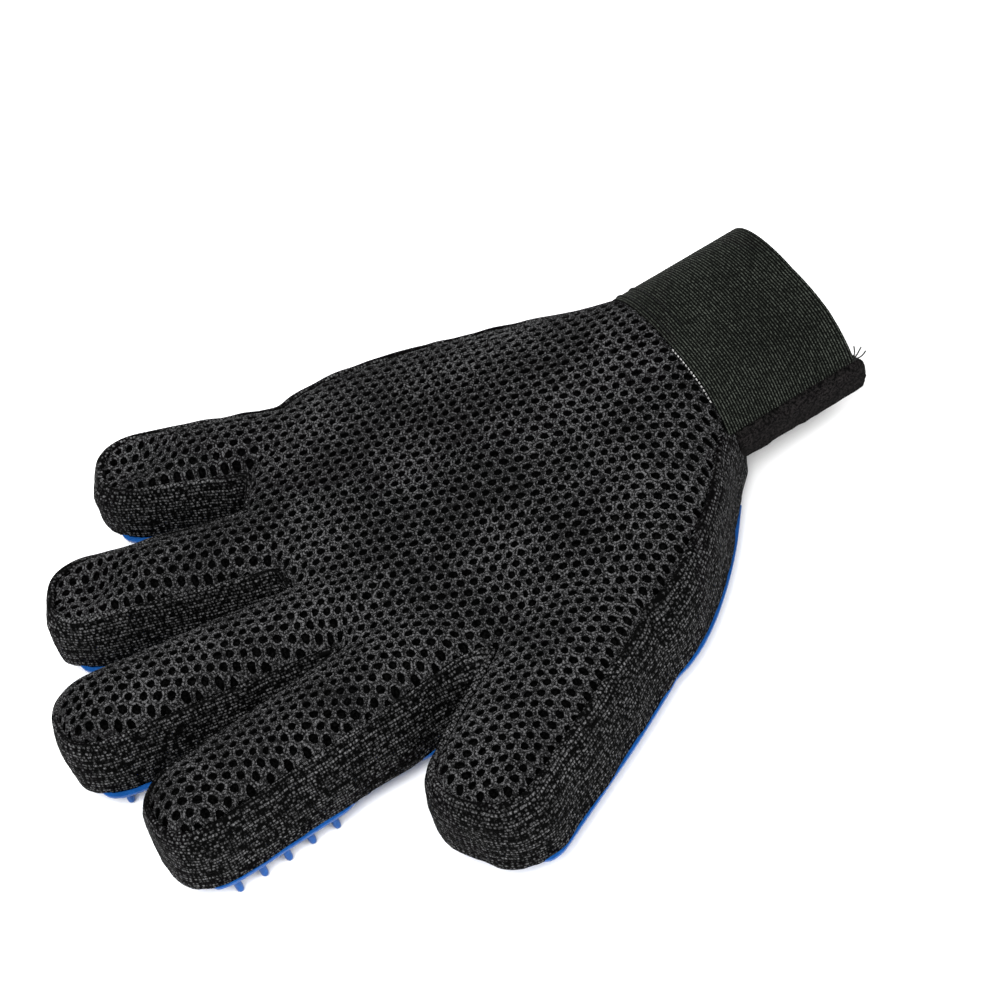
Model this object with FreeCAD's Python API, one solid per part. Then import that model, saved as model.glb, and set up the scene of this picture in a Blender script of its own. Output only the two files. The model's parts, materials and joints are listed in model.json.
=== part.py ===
import FreeCAD, Part
import math
import os

# Five-finger grooming glove for the right hand, lying palm down on its rubber pins.
# Millimetres. +X points to the little finger, +Y to the fingertips, +Z out of the back of the hand.
# The glove is drawn in the hand's own frame, where z = 0 is the joint between the fabric palm and the
# rubber pad. The last step moves it so that the origin is on the floor, under the middle of the glove.

# ---- driving dimensions -------------------------------------------------------------------------
MESH_T = 1.8            # air mesh of the back
STRIP_T = 1.6           # rib-knit strip that runs round the fingers and up both sides
LINER_T = 1.0           # fabric of the palm side, which carries the rubber
PAD_T = 2.0             # rubber sheet
PAD_RIM = 0.8           # bevel round the rubber's lower edge
PIN_R = 1.1             # rubber pin: radius, height and spacing
PIN_H = 4.8
PIN_PITCH = 7.4
PIN_EDGE = 4.0          # nearest a pin's axis comes to the rubber's edge
WALL_TOP = 45.0         # side walls are drawn this tall, then trimmed under the back

FLEX = 75.0             # a finger joint bends this far towards the palm
BACK_BEND = 10.0        # and this far backwards
HINGE_GAP = 0.25        # half of the gap between two pieces at a flex line
BEND_MARGIN = 1.5       # spare degrees on each side of a flex line

WRIST_X = 4.0           # centre of the wrist's oval
WRIST_Z = 14.2
WRIST_A = 29.0          # outer half width and half height of the closed band
WRIST_B = 20.0
BAND_TOP_Y = 17.0       # where the band meets the mesh
BAND_W = 40.0
ELASTIC_T = 1.5
HOOK_T = 0.8
LOOP_T = 1.6
LAYER_GAP = 0.3         # between layers that part when the strap is opened
SEAM_DEG = -90.0        # the band's sewn joint is under the wrist
FLAP_DEG = 100.0        # the free end of the strap starts here, just past the top
FLAP_END_DEG = 168.0
LOOP_END_DEG = 104.0
THREAD_T = 0.5          # two lines of stitches along the band's front edge
THREAD_W = 0.8
THREAD_INSET = (2.0, 6.0)

# base: where the finger's centre line starts, inside the palm. yaw: degrees it leans to the little side.
# knuckle and middle: flex lines, and tip: the end, all along the centre line. half: half width at the
# knuckle and at the tip. side: height of the side wall at the knuckle and at the tip.
FINGERS = {
    "thumb": {"base": (-43.0, 58.0), "yaw": -30.0, "knuckle": 40.0, "middle": 62.2, "tip": 87.0,
              "half": (18.0, 15.0), "side": (18.5, 16.0)},
    "index": {"base": (-34.0, 110.0), "yaw": -3.0, "knuckle": 24.0, "middle": 53.6, "tip": 88.0,
              "half": (13.0, 11.5), "side": (19.5, 17.0)},
    "middle": {"base": (-12.0, 117.0), "yaw": 12.0, "knuckle": 22.0, "middle": 51.6, "tip": 89.0,
               "half": (12.0, 10.5), "side": (20.0, 17.0)},
    "ring": {"base": (16.0, 111.0), "yaw": 22.0, "knuckle": 21.0, "middle": 50.6, "tip": 83.0,
             "half": (11.5, 10.0), "side": (17.5, 15.5)},
    "little": {"base": (45.0, 96.0), "yaw": 30.0, "knuckle": 18.0, "middle": 40.2, "tip": 70.0,
               "half": (12.0, 10.0), "side": (16.5, 14.0)},
}
FINGER_CROWN = 2.5      # rise of a finger's back over its side walls
TIP_DROP = 4.0          # fall of a finger's back over its last stretch
TIP_RUN = 14.0

# The palm's two long edges are arcs: the point at the wrist and one half way along. Their other ends, on
# the fingers, are worked out from FINGERS.
THUMB_EDGE = [(-25.0, BAND_TOP_Y), (-57.0, 46.0)]
LITTLE_EDGE = [(33.0, BAND_TOP_Y), (54.5, 60.0)]
# The bottoms of the gaps between the fingers.
THUMB_WEB = (-47.9, 103.0)
INDEX_WEB = (-20.3, 136.8)
MIDDLE_WEB = (8.6, 131.5)
RING_WEB = (39.0, 119.0)
# The back of the hand: y, left x, right x, height at the sides, height in the middle.
PALM_ARCH = [(BAND_TOP_Y - 2.0, -28.0, 36.0, 19.0, 33.5),
             (50.0, -66.0, 54.0, 19.0, 31.0),
             (85.0, -84.0, 66.0, 18.5, 27.5),
             (115.0, -64.0, 70.0, 18.5, 24.5),
             (150.0, -54.0, 72.0, 18.5, 22.0)]

UP = FreeCAD.Vector(0, 0, 1)
AHEAD = FreeCAD.Vector(0, 1, 0)


# ---- helpers ------------------------------------------------------------------------------------
def vec(x, y, z=0.0):
    return FreeCAD.Vector(x, y, z)


def prism(wire, low, high):
    """The solid between two heights over a flat outline that is drawn at z = 0."""
    face = Part.Face(wire)
    face.translate(vec(0, 0, low))
    return face.extrude(vec(0, 0, high - low))


def inset(wire, distance):
    """The outline drawn in by a distance."""
    return Part.Face(wire).makeOffset2D(-distance, 0).OuterWire


def rim_pad(wire):
    """A rubber sheet under z = 0 with a bevel round its lower edge."""
    sheet = prism(wire, PAD_RIM - PAD_T, 0)
    foot = prism(inset(wire, PAD_RIM), -PAD_T, PAD_RIM - PAD_T)
    return sheet.fuse(foot)


def pin(x, y):
    """One rubber pin, with a domed end, pointing down from the rubber sheet."""
    root = vec(x, y, -PAD_T + 0.2)
    straight = PIN_H - PIN_R + 0.2
    shaft = Part.makeCylinder(PIN_R, straight, root, -UP)
    dome = Part.makeSphere(PIN_R, root - UP * straight)
    return shaft.fuse(dome)


def place(shape, finger):
    """Moves a shape from the finger's own frame, +Y along its centre line, into the hand's frame."""
    moved = shape.copy()
    moved.rotate(vec(0, 0), UP, -finger["yaw"])
    moved.translate(vec(*finger["base"]))
    return moved


def on_finger(finger, x, y):
    """The point of the hand's frame that is at x, y in the finger's own frame."""
    turn = math.radians(finger["yaw"])
    base_x, base_y = finger["base"]
    return (base_x + x * math.cos(turn) + y * math.sin(turn),
            base_y - x * math.sin(turn) + y * math.cos(turn))


def in_finger(finger, x, y):
    """The point of the finger's own frame that is at x, y in the hand's frame."""
    turn = math.radians(finger["yaw"])
    dx = x - finger["base"][0]
    dy = y - finger["base"][1]
    return (dx * math.cos(turn) - dy * math.sin(turn),
            dx * math.sin(turn) + dy * math.cos(turn))


def flex_gap(finger, station):
    """The wedge-shaped gap at a flex line: narrow above the hinge axis, wide below it."""
    reach = finger["half"][0] + 1.2
    above = math.tan(math.radians(BACK_BEND / 2 + BEND_MARGIN)) * WALL_TOP
    below = math.tan(math.radians(FLEX / 2 + BEND_MARGIN)) * PAD_T * 2
    corners = [vec(-reach, station - HINGE_GAP), vec(-reach, station - HINGE_GAP - above, WALL_TOP),
               vec(-reach, station + HINGE_GAP + above, WALL_TOP), vec(-reach, station + HINGE_GAP),
               vec(-reach, station + HINGE_GAP + below, -PAD_T * 2),
               vec(-reach, station - HINGE_GAP - below, -PAD_T * 2)]
    outline = Part.makePolygon(corners + corners[:1])
    return Part.Face(outline).extrude(vec(2 * reach, 0))


# ---- the fingers --------------------------------------------------------------------------------
def finger_outline(finger, draw_in=0.0):
    """The finger seen from above, from inside the palm to its round tip."""
    start = finger["knuckle"] - 12.0
    near = finger["half"][0] - draw_in
    far = finger["half"][1] - draw_in
    end = finger["tip"] - draw_in
    edges = [Part.makeLine(vec(far, end - far), vec(near, start)),
             Part.makeLine(vec(near, start), vec(-near, start)),
             Part.makeLine(vec(-near, start), vec(-far, end - far)),
             Part.Arc(vec(-far, end - far), vec(0, end), vec(far, end - far)).toShape()]
    return Part.Wire(edges)


def finger_dome(finger, draw_in=0.0):
    """The space under the finger's crowned back."""
    near, far = finger["half"]
    high, low = finger["side"]
    sections = []
    for along, half, side in ((finger["knuckle"] - 14.0, near, high),
                              (finger["tip"] - TIP_RUN, far, low),
                              (finger["tip"] + 1.0, far, low - TIP_DROP)):
        left = vec(-half, along, side - draw_in)
        crown = vec(0, along, side + FINGER_CROWN - draw_in)
        right = vec(half, along, side - draw_in)
        floor_right = vec(half, along, -1.0)
        floor_left = vec(-half, along, -1.0)
        sections.append(Part.Wire([Part.Arc(left, crown, right).toShape(),
                                   Part.makeLine(right, floor_right),
                                   Part.makeLine(floor_right, floor_left),
                                   Part.makeLine(floor_left, left)]))
    return Part.makeLoft(sections, True, True)


def finger_pieces(finger):
    """The whole finger as four layers: mesh back, side strip, palm-side fabric and rubber sheet."""
    outer = finger_outline(finger)
    inner = finger_outline(finger, STRIP_T)
    roof = finger_dome(finger)
    ceiling = finger_dome(finger, MESH_T)
    back = prism(outer, 0, WALL_TOP).common(roof).cut(ceiling)
    strip = prism(outer, 0, WALL_TOP).common(ceiling).cut(prism(inner, -1, WALL_TOP))
    liner = prism(inner, 0, LINER_T)
    return {"back": back, "gusset": strip, "liner": liner, "pad": rim_pad(outer)}


def finger_pins(finger, first, last):
    """Staggered rows of pins between two stations along the finger."""
    pins = []
    row = 0
    station = first
    while station <= last:
        room = finger["half"][1] - PIN_EDGE + 0.5
        shift = PIN_PITCH / 2 if row % 2 else 0.0
        for step in range(-3, 4):
            across = step * PIN_PITCH + shift
            if abs(across) <= room:
                pins.append(pin(across, station))
        station += PIN_PITCH
        row += 1
    return pins


def cut_segment(shape, finger, start, end):
    """The part of a finger's layer between two stations, with a flex gap at each station."""
    reach = finger["half"][0] + 5.0
    slab = Part.makeBox(2 * reach, end - start, WALL_TOP + 20, vec(-reach, start, -10))
    piece = shape.common(slab)
    for station in (finger["knuckle"], finger["middle"]):
        piece = piece.cut(flex_gap(finger, station))
    return piece


def build_finger(name, finger):
    """Every node of one finger, in the hand's frame."""
    nodes = {}
    layers = finger_pieces(finger)
    past_tip = finger["tip"] + 2.0
    spans = {"lower": (finger["knuckle"], finger["middle"]), "upper": (finger["middle"], past_tip)}
    for part, (start, end) in spans.items():
        for layer, shape in layers.items():
            piece = cut_segment(shape, finger, start, end)
            if layer == "pad":
                last_row = min(end - PIN_PITCH, finger["tip"] - PIN_EDGE - 1.5) + 0.01
                piece = piece.multiFuse(finger_pins(finger, start + PIN_PITCH, last_row))
            nodes[name + "_" + part + "_" + layer] = place(piece, finger)
    return nodes


# ---- the palm -----------------------------------------------------------------------------------
def arc_edge(start, middle, end):
    """An arc of the plan through three points."""
    return Part.Arc(vec(*start), vec(*middle), vec(*end)).toShape()


def root_corners(name):
    """The thumb-side and little-side ends of a finger's knuckle line."""
    finger = FINGERS[name]
    half = finger["half"][0]
    return (on_finger(finger, -half, finger["knuckle"]), on_finger(finger, half, finger["knuckle"]))


def palm_outline():
    """The palm seen from above, from the band to the knuckle lines."""
    roots = {name: root_corners(name) for name in FINGERS}
    corners = [roots["thumb"][0], roots["thumb"][1], THUMB_WEB,
               roots["index"][0], roots["index"][1], INDEX_WEB,
               roots["middle"][0], roots["middle"][1], MIDDLE_WEB,
               roots["ring"][0], roots["ring"][1], RING_WEB,
               roots["little"][0], roots["little"][1]]
    edges = [arc_edge(THUMB_EDGE[0], THUMB_EDGE[1], corners[0])]
    for start, end in zip(corners[:-1], corners[1:]):
        edges.append(Part.makeLine(vec(*start), vec(*end)))
    edges.append(arc_edge(corners[-1], LITTLE_EDGE[1], LITTLE_EDGE[0]))
    edges.append(Part.makeLine(vec(*LITTLE_EDGE[0]), vec(*THUMB_EDGE[0])))
    return Part.Wire(edges)


def palm_dome(draw_in=0.0):
    """The space under the arched back of the hand."""
    sections = []
    for along, left_x, right_x, side, top in PALM_ARCH:
        left = vec(left_x, along, side - draw_in)
        crown = vec((left_x + right_x) / 2, along, top - draw_in)
        right = vec(right_x, along, side - draw_in)
        floor_right = vec(right_x, along, -1.0)
        floor_left = vec(left_x, along, -1.0)
        sections.append(Part.Wire([Part.Arc(left, crown, right).toShape(),
                                   Part.makeLine(right, floor_right),
                                   Part.makeLine(floor_right, floor_left),
                                   Part.makeLine(floor_left, left)]))
    return Part.makeLoft(sections, True, True)


def open_ends():
    """Blocks that open the palm's wall at the wrist and at each finger's root."""
    blocks = []
    for finger in FINGERS.values():
        half = finger["half"][0] - STRIP_T
        block = Part.makeBox(2 * half, 8.0, WALL_TOP, vec(-half, finger["knuckle"] - 4.0, -2.0))
        blocks.append(place(block, finger))
    wrist_half = LITTLE_EDGE[0][0] - THUMB_EDGE[0][0] - 2 * STRIP_T
    blocks.append(Part.makeBox(wrist_half, 6.0, WALL_TOP,
                               vec(THUMB_EDGE[0][0] + STRIP_T, BAND_TOP_Y - 3.0, -2.0)))
    return blocks


def cut_all(shape, tools):
    """The shape with every tool cut away, one after the other."""
    for tool in tools:
        shape = shape.cut(tool)
    return shape


def palm_pins(outline):
    """Staggered rows of pins over the palm, clear of its edge and of the knuckle lines."""
    field = Part.Face(inset(outline, PIN_EDGE))
    pins = []
    rows = int((FINGERS["middle"]["base"][1] + 30.0 - BAND_TOP_Y) / PIN_PITCH)
    for row in range(rows):
        y = BAND_TOP_Y + 6.0 + row * PIN_PITCH
        shift = PIN_PITCH / 2 if row % 2 else 0.0
        for step in range(-12, 12):
            x = step * PIN_PITCH + shift
            if not field.isInside(vec(x, y), 0.01, True):
                continue
            if any(near_flex_line(finger, x, y) for finger in FINGERS.values()):
                continue
            pins.append(pin(x, y))
    return pins


def near_flex_line(finger, x, y):
    """True where a pin would meet the finger's own pins as the finger bends."""
    across, along = in_finger(finger, x, y)
    return abs(across) < finger["half"][0] + 2.0 and along > finger["knuckle"] - PIN_PITCH + 0.4


def nearest(solids, point):
    """The solid whose middle is nearest to a point of the plan."""
    return min(solids, key=lambda solid: math.hypot(solid.CenterOfMass.x - point[0],
                                                    solid.CenterOfMass.y - point[1]))


def build_palm():
    """The nodes of the palm, which carries everything else."""
    outline = palm_outline()
    gaps = [place(flex_gap(finger, finger["knuckle"]), finger) for finger in FINGERS.values()]
    roof = palm_dome()
    ceiling = palm_dome(MESH_T)
    full = prism(outline, 0, WALL_TOP)
    core = prism(inset(outline, STRIP_T), -1, WALL_TOP)
    back = cut_all(full.common(roof).cut(ceiling), gaps)
    walls = cut_all(full.common(ceiling).cut(core), gaps + open_ends()).Solids
    roots = {name: root_corners(name) for name in FINGERS}
    liner = cut_all(core.common(prism(outline, 0, LINER_T)), gaps)
    pad = cut_all(rim_pad(outline), gaps).multiFuse(palm_pins(outline))
    return {"back_panel": back,
            "thumb_side_gusset": nearest(walls, THUMB_EDGE[1]),
            "little_side_gusset": nearest(walls, LITTLE_EDGE[1]),
            "thumb_index_web": nearest(walls, (roots["index"][0][0], THUMB_WEB[1] + 15.0)),
            "index_middle_web": nearest(walls, INDEX_WEB),
            "middle_ring_web": nearest(walls, MIDDLE_WEB),
            "ring_little_web": nearest(walls, RING_WEB),
            "palm_liner": liner,
            "palm_pad": pad}


# ---- the wrist band -----------------------------------------------------------------------------
def oval_arc(depth, start, end):
    """An arc of the wrist's oval, drawn in by a depth, at the band's front edge."""
    oval = Part.Ellipse(vec(0, 0), WRIST_A - depth, WRIST_B - depth)
    arc = Part.ArcOfEllipse(oval, math.radians(start), math.radians(end)).toShape()
    arc.rotate(vec(0, 0), vec(1, 0), 90)
    arc.translate(vec(WRIST_X, BAND_TOP_Y, WRIST_Z))
    return arc


def band(depth, thickness, start, end, front=0.0, width=BAND_W):
    """A strip of the band: how deep its outer face lies, its thickness, and where it starts and ends."""
    outer = oval_arc(depth, start, end)
    inner = oval_arc(depth + thickness, start, end)
    sides = [Part.makeLine(outer.Vertexes[index].Point, inner.Vertexes[index].Point) for index in (0, 1)]
    face = Part.Face(Part.Wire(Part.__sortEdges__([outer, inner] + sides)))
    strip = face.extrude(AHEAD * -width)
    strip.translate(AHEAD * -front)
    return strip


def build_band():
    """The elastic strap with its free end, and the hook and loop that close it."""
    hook_depth = ELASTIC_T
    loop_depth = ELASTIC_T + HOOK_T + LAYER_GAP
    threads = [band(-THREAD_T, THREAD_T, SEAM_DEG + 2, FLAP_DEG - 2, front, THREAD_W)
               for front in THREAD_INSET]
    return {"elastic_band": band(0, ELASTIC_T, SEAM_DEG, FLAP_DEG),
            "elastic_flap": band(0, ELASTIC_T, FLAP_DEG + 1, FLAP_END_DEG),
            "hook_patch": band(hook_depth, HOOK_T, FLAP_DEG + 14, FLAP_END_DEG - 4, 3.0, BAND_W - 6.0),
            "loop_band": band(loop_depth, LOOP_T, LOOP_END_DEG, SEAM_DEG + 360),
            "band_joint": band(ELASTIC_T, loop_depth - ELASTIC_T, SEAM_DEG + 344, SEAM_DEG + 360),
            "band_stitching": Part.makeCompound(threads)}


# ---- putting it together ------------------------------------------------------------------------
def build_glove():
    """Every node by name, in the hand's frame."""
    nodes = build_palm()
    nodes.update(build_band())
    for name, finger in FINGERS.items():
        nodes.update(build_finger(name, finger))
    return nodes


def floor_origin(nodes):
    """The point of the hand's frame that is on the floor under the middle of the whole glove."""
    box = FreeCAD.BoundBox()
    for shape in nodes.values():
        box.add(shape.optimalBoundingBox(False, False))
    return vec(box.Center.x, box.Center.y, box.ZMin)


def strap_hinge():
    """Where the strap's free end starts, on the outside of the band."""
    turn = math.radians(FLAP_DEG + 0.5)
    return vec(WRIST_X + WRIST_A * math.cos(turn), BAND_TOP_Y - BAND_W / 2,
               WRIST_Z + WRIST_B * math.sin(turn))


nodes = build_glove()
origin = floor_origin(nodes)
os.makedirs("parts", exist_ok=True)
for name, shape in nodes.items():
    shape.translate(-origin)
    shape.exportStep("parts/" + name + ".step")
    print(name, "valid" if shape.isValid() else "NOT VALID", len(shape.Solids), "solids",
          round(shape.Volume), "mm3")
print("origin of the floor frame in the hand's frame:", [round(value, 3) for value in origin])
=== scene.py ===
# %% [markdown]
# # A five-finger grooming glove
# The glove is for the right hand. Its back is black air mesh, a knit strip runs round every finger, the
# palm is a blue rubber sheet with round pins, and an elastic strap closes it at the wrist. Everything that
# has a size comes from the CAD frame, so the first step loads it and measures where the fingers bend.
# %% Load the frame
import json
import math

import bmesh
import bpy
import numpy as np
from mathutils import Matrix, Vector


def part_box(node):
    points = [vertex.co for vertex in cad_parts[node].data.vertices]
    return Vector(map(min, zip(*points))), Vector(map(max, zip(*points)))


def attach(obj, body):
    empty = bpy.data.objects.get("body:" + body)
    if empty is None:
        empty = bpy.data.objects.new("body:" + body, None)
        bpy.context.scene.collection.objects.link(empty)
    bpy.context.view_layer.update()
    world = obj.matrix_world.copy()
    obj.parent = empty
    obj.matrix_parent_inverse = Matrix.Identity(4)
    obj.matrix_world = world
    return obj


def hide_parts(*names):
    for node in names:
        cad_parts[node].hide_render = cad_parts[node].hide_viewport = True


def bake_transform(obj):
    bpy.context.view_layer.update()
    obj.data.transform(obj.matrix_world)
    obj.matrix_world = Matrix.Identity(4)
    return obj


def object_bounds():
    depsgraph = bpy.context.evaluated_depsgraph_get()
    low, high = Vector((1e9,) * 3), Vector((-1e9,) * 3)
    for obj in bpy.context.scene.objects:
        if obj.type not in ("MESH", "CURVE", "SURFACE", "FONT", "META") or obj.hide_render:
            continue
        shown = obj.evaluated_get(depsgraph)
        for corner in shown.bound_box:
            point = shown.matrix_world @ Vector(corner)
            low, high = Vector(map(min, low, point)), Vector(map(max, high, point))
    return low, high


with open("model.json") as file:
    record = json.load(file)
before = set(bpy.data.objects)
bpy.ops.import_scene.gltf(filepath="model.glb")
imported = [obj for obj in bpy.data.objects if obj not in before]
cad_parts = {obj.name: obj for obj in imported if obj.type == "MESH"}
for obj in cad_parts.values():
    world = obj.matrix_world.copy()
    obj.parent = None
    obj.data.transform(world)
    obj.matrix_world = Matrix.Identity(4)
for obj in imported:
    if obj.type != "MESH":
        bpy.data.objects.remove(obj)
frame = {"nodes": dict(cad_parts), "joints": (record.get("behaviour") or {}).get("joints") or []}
bpy.context.view_layer.update()
cad_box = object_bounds()
MM = 0.001
FINGER_NAMES = ("thumb", "index", "middle", "ring", "little")

# %% [markdown]
# The hand has its own origin, which makes the shapes easy to read: z is 0 where the rubber sheet meets the
# fabric, and the band's front edge is at y = 17 mm. The two calls below find it from CAD parts. Each finger
# also gets its own frame. Its origin is the knuckle hinge, +Y runs to the tip and +X to the little finger.
# %% Frames of the hand and of each finger
BAND_FRONT_Y = 17 * MM
BAND_SIDE_X = 33 * MM
band_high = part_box("elastic_band")[1]
hand = Vector((band_high.x - BAND_SIDE_X, band_high.y - BAND_FRONT_Y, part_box("palm_pad")[1].z))
joints = {joint["name"]: joint for joint in frame["joints"]}


class Finger:
    """One finger's own frame, with its length and its two bending points, read from the CAD model."""

    def __init__(self, name):
        self.name = name
        self.knuckle = Vector(joints[name + "_knuckle"]["pos_m"])
        middle = Vector(joints[name + "_middle"]["pos_m"])
        ahead = (middle - self.knuckle).normalized()
        side = ahead.cross(Vector((0, 0, 1)))
        self.bend = (middle - self.knuckle).length
        self.matrix = Matrix((
            (side.x, ahead.x, 0, self.knuckle.x),
            (side.y, ahead.y, 0, self.knuckle.y),
            (0, 0, 1, hand.z),
            (0, 0, 0, 1)))
        self.inverse = self.matrix.inverted()
        pad = frame["nodes"][name + "_upper_pad"].data.vertices
        self.tip = max((self.inverse @ vertex.co).y for vertex in pad)
        strip = frame["nodes"][name + "_lower_gusset"].data.vertices
        self.half = max((self.inverse @ vertex.co).x for vertex in strip)

    def at(self, x, y, z=0.0):
        """The point of the frame that is at x, y, z in the finger's own frame."""
        return self.matrix @ Vector((x, y, z))


fingers = {name: Finger(name) for name in FINGER_NAMES}
for finger in fingers.values():
    print(finger.name, "bends at 0 and", round(finger.bend / MM, 1), "mm, tip at", round(finger.tip / MM, 1),
          "half width", round(finger.half / MM, 1))

# %% [markdown]
# Blender's operators act on whatever is selected, so each step starts from nothing selected. These helpers
# do what a hand does with the mouse: pick vertices or faces by their place, cut at a station, and move.
# %% Helpers for selecting and cutting
def edit_mode():
    """Opens the active object's mesh for editing."""
    bpy.ops.object.mode_set(mode="EDIT")


def object_mode():
    """Closes the mesh again."""
    bpy.ops.object.mode_set(mode="OBJECT")


def apply_transform():
    """Writes the selected object's place, turn and size into its mesh."""
    bpy.ops.object.transform_apply(location=True, rotation=True, scale=True)


def select_whole_mesh():
    """In edit mode, selects everything."""
    bpy.ops.mesh.select_all(action="SELECT")


def nothing_selected():
    """Leaves edit mode and deselects every object."""
    if bpy.context.object and bpy.context.object.mode != "OBJECT":
        object_mode()
    bpy.ops.object.select_all(action="DESELECT")


def take(piece):
    """Selects one object and makes it the active one."""
    nothing_selected()
    piece.select_set(True)
    bpy.context.view_layer.objects.active = piece
    return piece


def pick(rule, kind="VERT"):
    """In edit mode, selects the vertices, edges or faces whose middle passes the rule. Returns how many."""
    bpy.ops.mesh.select_mode(type=kind)
    bpy.ops.mesh.select_all(action="DESELECT")
    mesh = bmesh.from_edit_mesh(bpy.context.object.data)
    count = 0
    if kind == "VERT":
        for vertex in mesh.verts:
            if rule(vertex.co):
                vertex.select_set(True)
                count += 1
    else:
        for part in (mesh.edges if kind == "EDGE" else mesh.faces):
            middle = sum((vertex.co for vertex in part.verts), Vector()) / len(part.verts)
            if rule(middle):
                part.select_set(True)
                count += 1
    mesh.select_flush_mode()
    bmesh.update_edit_mesh(bpy.context.object.data)
    return count


def push(way, reach):
    """In edit mode, moves what is selected, and the surface round it less and less up to a reach."""
    bpy.ops.transform.translate(
        value=way, use_proportional_edit=True, use_proportional_connected=True,
        proportional_edit_falloff="SMOOTH", proportional_size=reach)


def edit_mesh(piece):
    """Takes one object and opens its mesh."""
    take(piece)
    edit_mode()


def cut_across(stations, normal):
    """In edit mode, cuts the whole mesh at each station along a direction."""
    for station in stations:
        select_whole_mesh()
        bpy.ops.mesh.bisect(plane_co=Vector(normal) * station, plane_no=normal)


def use_modifier(piece, kind, **settings):
    """Adds a modifier and applies it at once."""
    take(piece)
    modifier = piece.modifiers.new(kind.title(), kind)
    for key, value in settings.items():
        setattr(modifier, key, value)
    bpy.ops.object.modifier_apply(modifier=modifier.name)


def copy_of(piece, name):
    """A copy with a mesh of its own."""
    twin = piece.copy()
    twin.data = piece.data.copy()
    twin.name = name
    bpy.context.scene.collection.objects.link(twin)
    return twin


def remove_object(piece):
    """Deletes a helper object and its mesh."""
    mesh = piece.data
    bpy.data.objects.remove(piece)
    bpy.data.meshes.remove(mesh)


# %% [markdown]
# ## The last
# A shoemaker shapes leather over a last. Here a last is the smooth solid that the glove fits, and every
# layer is taken from it or laid on it, so the layers follow each other. It starts as six blanks: a cube for
# the palm and one for each finger, cut into rings that are resized one by one, and rounded by subdivision.
# %% Finger blanks
LAST_FLOOR = -2.0
BLANK_TOP = 17.0
TOP_FROM = 12 * MM
ROOT = -30.0


def ring_shape(station, low, high, left, right, crown, tuck=0.0):
    """Shapes one ring of a blank: its sides, its top, its middle and the tuck of its near edge."""
    def here(place):
        return abs(place.y - station * MM) < 0.01 * MM
    width = (right - left) / 2
    centre = (right + left) / 2
    pick(here)
    bpy.ops.transform.resize(value=(width, 1, 1), center_override=(0, station * MM, 0))
    bpy.ops.transform.translate(value=(centre * MM, 0, 0))
    pick(lambda place: here(place) and place.z > TOP_FROM)
    bpy.ops.transform.translate(value=(0, 0, (high - BLANK_TOP) * MM))
    pick(lambda place: here(place) and place.z > TOP_FROM and abs(place.x - centre * MM) < width * 0.7 * MM)
    bpy.ops.transform.translate(value=(0, 0, crown * MM))
    if tuck:
        pick(lambda place: here(place) and place.z > TOP_FROM and place.x < (centre - width * 0.5) * MM)
        bpy.ops.transform.translate(value=(tuck * MM, 0, 0))
    if low != LAST_FLOOR:
        pick(lambda place: here(place) and place.z < -1 * MM)
        bpy.ops.transform.translate(value=(0, 0, (low - LAST_FLOOR) * MM))


def blank(name, start, end, rings, columns, levels=(0.0, 8.0)):
    """A cube from start to end, two millimetres wide for now, cut into rings and columns and then shaped."""
    nothing_selected()
    height = BLANK_TOP - LAST_FLOOR
    middle = (0, (start + end) / 2 * MM, (BLANK_TOP + LAST_FLOOR) / 2 * MM)
    bpy.ops.mesh.primitive_cube_add(size=1, location=middle)
    piece = bpy.context.object
    piece.name = name
    piece.scale = (2 * MM, (end - start) * MM, height * MM)
    apply_transform()
    edit_mode()
    cut_across([ring[0] * MM for ring in rings[1:-1]], (0, 1, 0))
    cut_across([column * MM for column in columns], (1, 0, 0))
    cut_across([level * MM for level in levels], (0, 0, 1))
    for ring in rings:
        ring_shape(*ring)
    return piece


def finger_blank(finger, near, far, high, crown, lean):
    """A finger: near and far are half widths at the root and the tip, high the seam's height at both."""
    tip = finger.tip / MM
    bend = finger.bend / MM
    stations = [ROOT, -12, 2, bend * 0.5, bend, (bend + tip) / 2 + 2, tip - 8, tip - 1.5, tip + 1.2]
    rings = []
    for station in stations:
        share = max(0.0, min(1.0, station / tip))
        half = near + (far - near) * share
        side = high[0] + (high[1] - high[0]) * share
        rise = crown
        if station > tip:
            half, side, rise = half * 0.45, side - 6.5, crown * 0.3
        elif station > tip - 2:
            half, side, rise = half * 0.80, side - 2.5, crown * 0.7
        rings.append((station, LAST_FLOOR, side, -half - lean * 0.5, half, rise, lean))
    piece = blank(finger.name + "_blank", ROOT, tip + 1.2, rings, (0.0,))
    object_mode()
    use_modifier(piece, "SUBSURF", levels=3, render_levels=3)
    take(piece)
    piece.matrix_world = finger.matrix
    apply_transform()
    return piece


FINGER_SHAPES = {
    "thumb": (19.0, 16.5, (22.5, 21.5), 4.5, 2.5),
    "index": (14.0, 13.0, (22.0, 20.5), 4.5, 3.5),
    "middle": (13.0, 12.5, (22.0, 20.0), 4.5, 3.0),
    "ring": (12.5, 11.5, (20.0, 18.0), 4.0, 2.5),
    "little": (12.5, 11.0, (19.0, 17.0), 4.0, 2.0),
}
blanks = [finger_blank(fingers[name], near, far, high, crown, lean)
          for name, (near, far, high, crown, lean) in FINGER_SHAPES.items()]

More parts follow.
